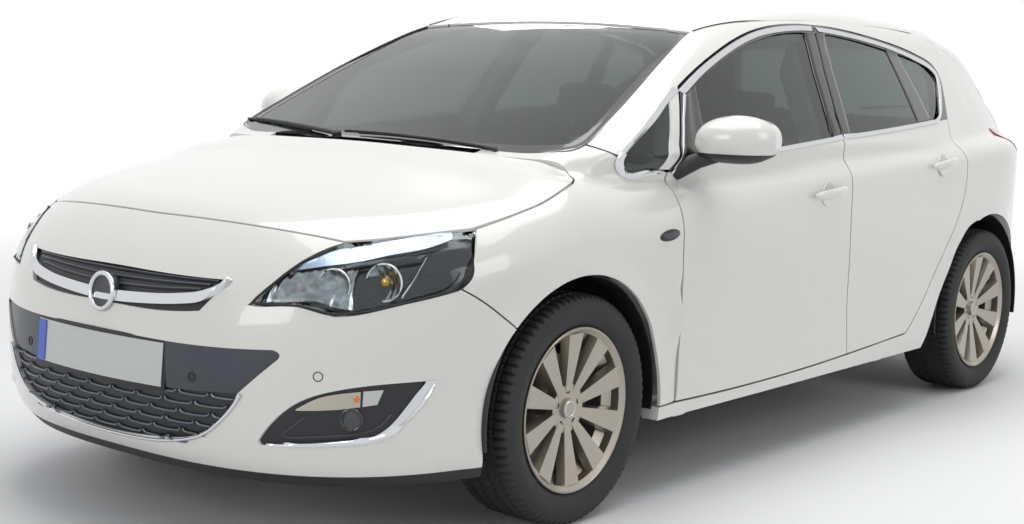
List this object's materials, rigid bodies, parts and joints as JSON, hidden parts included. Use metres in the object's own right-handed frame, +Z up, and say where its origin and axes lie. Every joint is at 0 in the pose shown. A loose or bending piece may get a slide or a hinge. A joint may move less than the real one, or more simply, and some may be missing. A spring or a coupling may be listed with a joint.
{
  "type": "five-door hatchback car",
  "caption": "Compact five-door hatchback car with wing-shaped grille, alloy wheels, opening doors, hood and tailgate, steered front wheels and a hollow furnished cabin.",
  "frame": {"origin": "bottom centre of the bounding box, on the ground", "axes": "+X is the car's left, +Y runs from nose to tail (the nose points to -Y), +Z is up"},
  "size_m": [2.1228, 4.4183, 1.501],
  "materials": {
    "paint": "gloss off-white",
    "glass": "clear tinted",
    "lamp_clear": "clear lens",
    "black_plastic": "satin black",
    "grey_panel": "satin dark grey",
    "lamp_red": "clear red lens",
    "cast_metal": "cast",
    "steel": "black underbody coating",
    "exhaust_steel": "dull",
    "fabric": "woven",
    "cabin_plastic": "grained",
    "tyre": "rubber",
    "alloy": "painted silver"
  },
  "bodies": {
    "car_body": {"quarter_glass": "glass", "side_frames": "paint", "front_fenders": "paint", "windscreen": "glass", "roof_panel": "paint", "front_bumper": "paint", "headlamps": "lamp_clear", "fog_lamps": "black_plastic", "bumper_panel": "grey_panel", "upper_grille": "black_plastic", "lower_grille": "black_plastic", "rear_bumper": "paint", "tail_lamps": "lamp_red", "front_subframe": "steel", "rear_axle": "steel", "floor_pan": "steel", "wheel_liners": "black_plastic", "engine_block": "cast_metal", "front_seats": "fabric", "rear_bench": "fabric", "dashboard": "cabin_plastic", "scuttle": "black_plastic", "exhaust": "exhaust_steel"},
    "wheel_front_left": {"rim_front_left": "alloy", "tyre_front_left": "tyre"},
    "wheel_front_right": {"rim_front_right": "alloy", "tyre_front_right": "tyre"},
    "wheel_rear_left": {"rim_rear_left": "alloy", "tyre_rear_left": "tyre"},
    "wheel_rear_right": {"rim_rear_right": "alloy", "tyre_rear_right": "tyre"},
    "steer_left": {"knuckle_left": "cast_metal"},
    "steer_right": {"knuckle_right": "cast_metal"},
    "steering_wheel_body": {"steering_wheel": "cabin_plastic"},
    "front_door_left_body": {"front_door_left": "paint", "front_glass_left": "glass", "mirror_left": "paint"},
    "rear_door_left_body": {"rear_door_left": "paint", "rear_glass_left": "glass"},
    "front_door_right_body": {"front_door_right": "paint", "front_glass_right": "glass", "mirror_right": "paint"},
    "rear_door_right_body": {"rear_door_right": "paint", "rear_glass_right": "glass"},
    "hood_body": {"hood": "paint"},
    "tailgate_body": {"tailgate": "paint", "tailgate_glass": "glass"}
  },
  "joints": [
    {"name": "steer_left_joint", "type": "hinge", "parent": "car_body", "child": "steer_left", "pos_m": [0.69, -1.2645, 0.19], "axis": [-0.1483, 0, 0.9889], "range_deg": [-32, 32]},
    {"name": "wheel_front_left_spin", "type": "hinge", "parent": "steer_left", "child": "wheel_front_left", "pos_m": [0.7705, -1.2645, 0.3234], "axis": [1, 0, 0], "continuous": true},
    {"name": "wheel_rear_left_spin", "type": "hinge", "parent": "car_body", "child": "wheel_rear_left", "pos_m": [0.7755, 1.4205, 0.3234], "axis": [1, 0, 0], "continuous": true},
    {"name": "front_door_left_hinge", "type": "hinge", "parent": "car_body", "child": "front_door_left_body", "pos_m": [0.868, -0.742, 0.65], "axis": [0, 0, -1], "range_deg": [0, 65]},
    {"name": "rear_door_left_hinge", "type": "hinge", "parent": "car_body", "child": "rear_door_left_body", "pos_m": [0.882, 0.272, 0.65], "axis": [0, 0, -1], "range_deg": [0, 65]},
    {"name": "steer_right_joint", "type": "hinge", "parent": "car_body", "child": "steer_right", "pos_m": [-0.69, -1.2645, 0.19], "axis": [0.1483, 0, 0.9889], "range_deg": [-32, 32]},
    {"name": "wheel_front_right_spin", "type": "hinge", "parent": "steer_right", "child": "wheel_front_right", "pos_m": [-0.7705, -1.2645, 0.3234], "axis": [1, 0, 0], "continuous": true},
    {"name": "wheel_rear_right_spin", "type": "hinge", "parent": "car_body", "child": "wheel_rear_right", "pos_m": [-0.7755, 1.4205, 0.3234], "axis": [1, 0, 0], "continuous": true},
    {"name": "front_door_right_hinge", "type": "hinge", "parent": "car_body", "child": "front_door_right_body", "pos_m": [-0.868, -0.742, 0.65], "axis": [0, 0, 1], "range_deg": [0, 65]},
    {"name": "rear_door_right_hinge", "type": "hinge", "parent": "car_body", "child": "rear_door_right_body", "pos_m": [-0.882, 0.272, 0.65], "axis": [0, 0, 1], "range_deg": [0, 65]},
    {"name": "steering_wheel_turn", "type": "hinge", "parent": "car_body", "child": "steering_wheel_body", "pos_m": [0.36, -0.36502, 0.8625], "axis": [0, 0.9419, 0.3359], "range_deg": [-480, 480]},
    {"name": "hood_hinge", "type": "hinge", "parent": "car_body", "child": "hood_body", "pos_m": [0, -1.1, 1.005], "axis": [-1, 0, 0], "range_deg": [0, 55]},
    {"name": "tailgate_hinge", "type": "hinge", "parent": "car_body", "child": "tailgate_body", "pos_m": [0, 1.37, 1.46], "axis": [1, 0, 0], "range_deg": [0, 75]}
  ],
  "couplings": [
    {"joint": "steer_right_joint", "follows": "steer_left_joint", "ratio": 1},
    {"joint": "steering_wheel_turn", "follows": "steer_left_joint", "ratio": 15}
  ]
}
